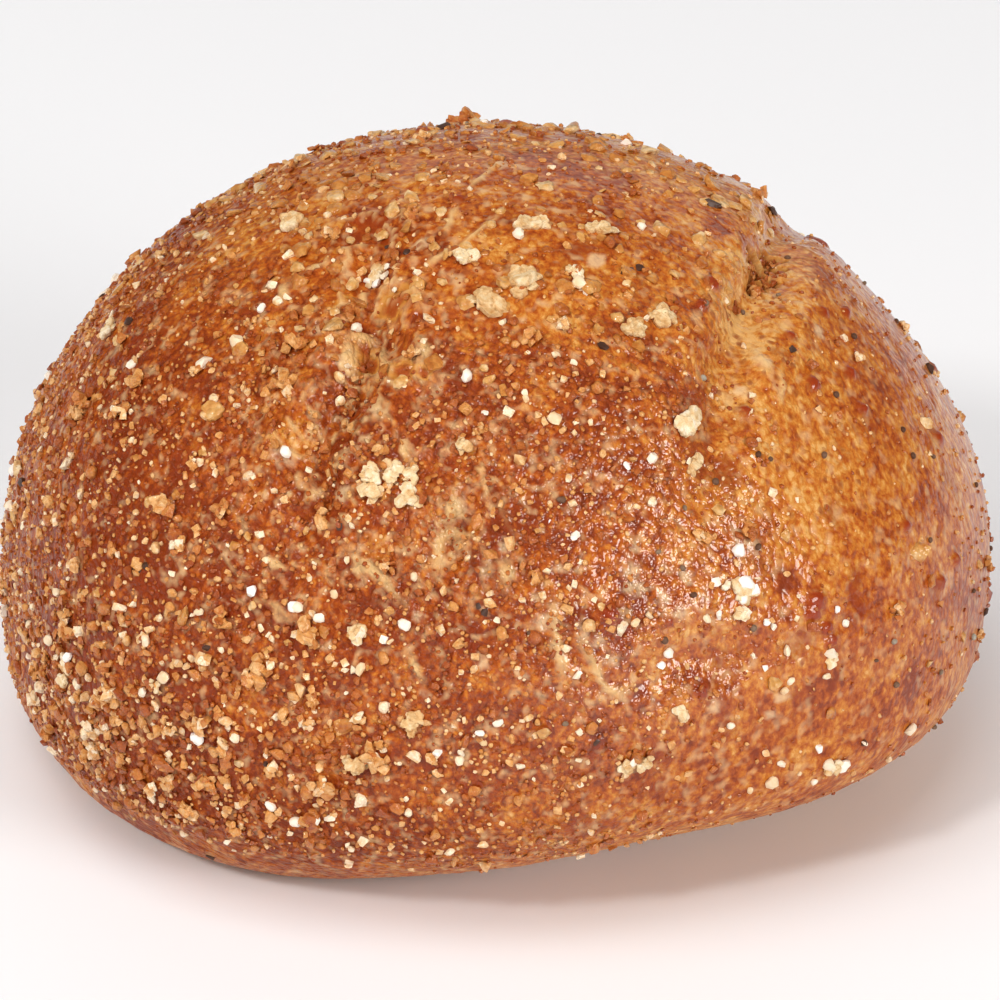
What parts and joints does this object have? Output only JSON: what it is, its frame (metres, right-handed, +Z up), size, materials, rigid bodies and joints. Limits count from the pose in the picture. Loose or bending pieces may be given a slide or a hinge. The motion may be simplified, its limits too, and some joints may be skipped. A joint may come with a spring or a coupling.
{
  "type": "bread roll",
  "caption": "Round wholegrain bread roll with a high glazed dome, a torn seam, a puckered fold, a lifted front edge, a flat sole and a baked-on coat of cracked grain, oat flakes and seeds.",
  "frame": {"origin": "on the table, under the middle of the roll's box", "axes": "+Z up from the flat sole to the crown, +X to the right along the roll's longer way, -Y to the front, where the thick coat lies on the left"},
  "size_m": [0.098, 0.0887, 0.0633],
  "materials": {
    "crust": "glossy"
  },
  "bodies": {
    "root": {"bread_roll": "crust"}
  },
  "joints": []
}
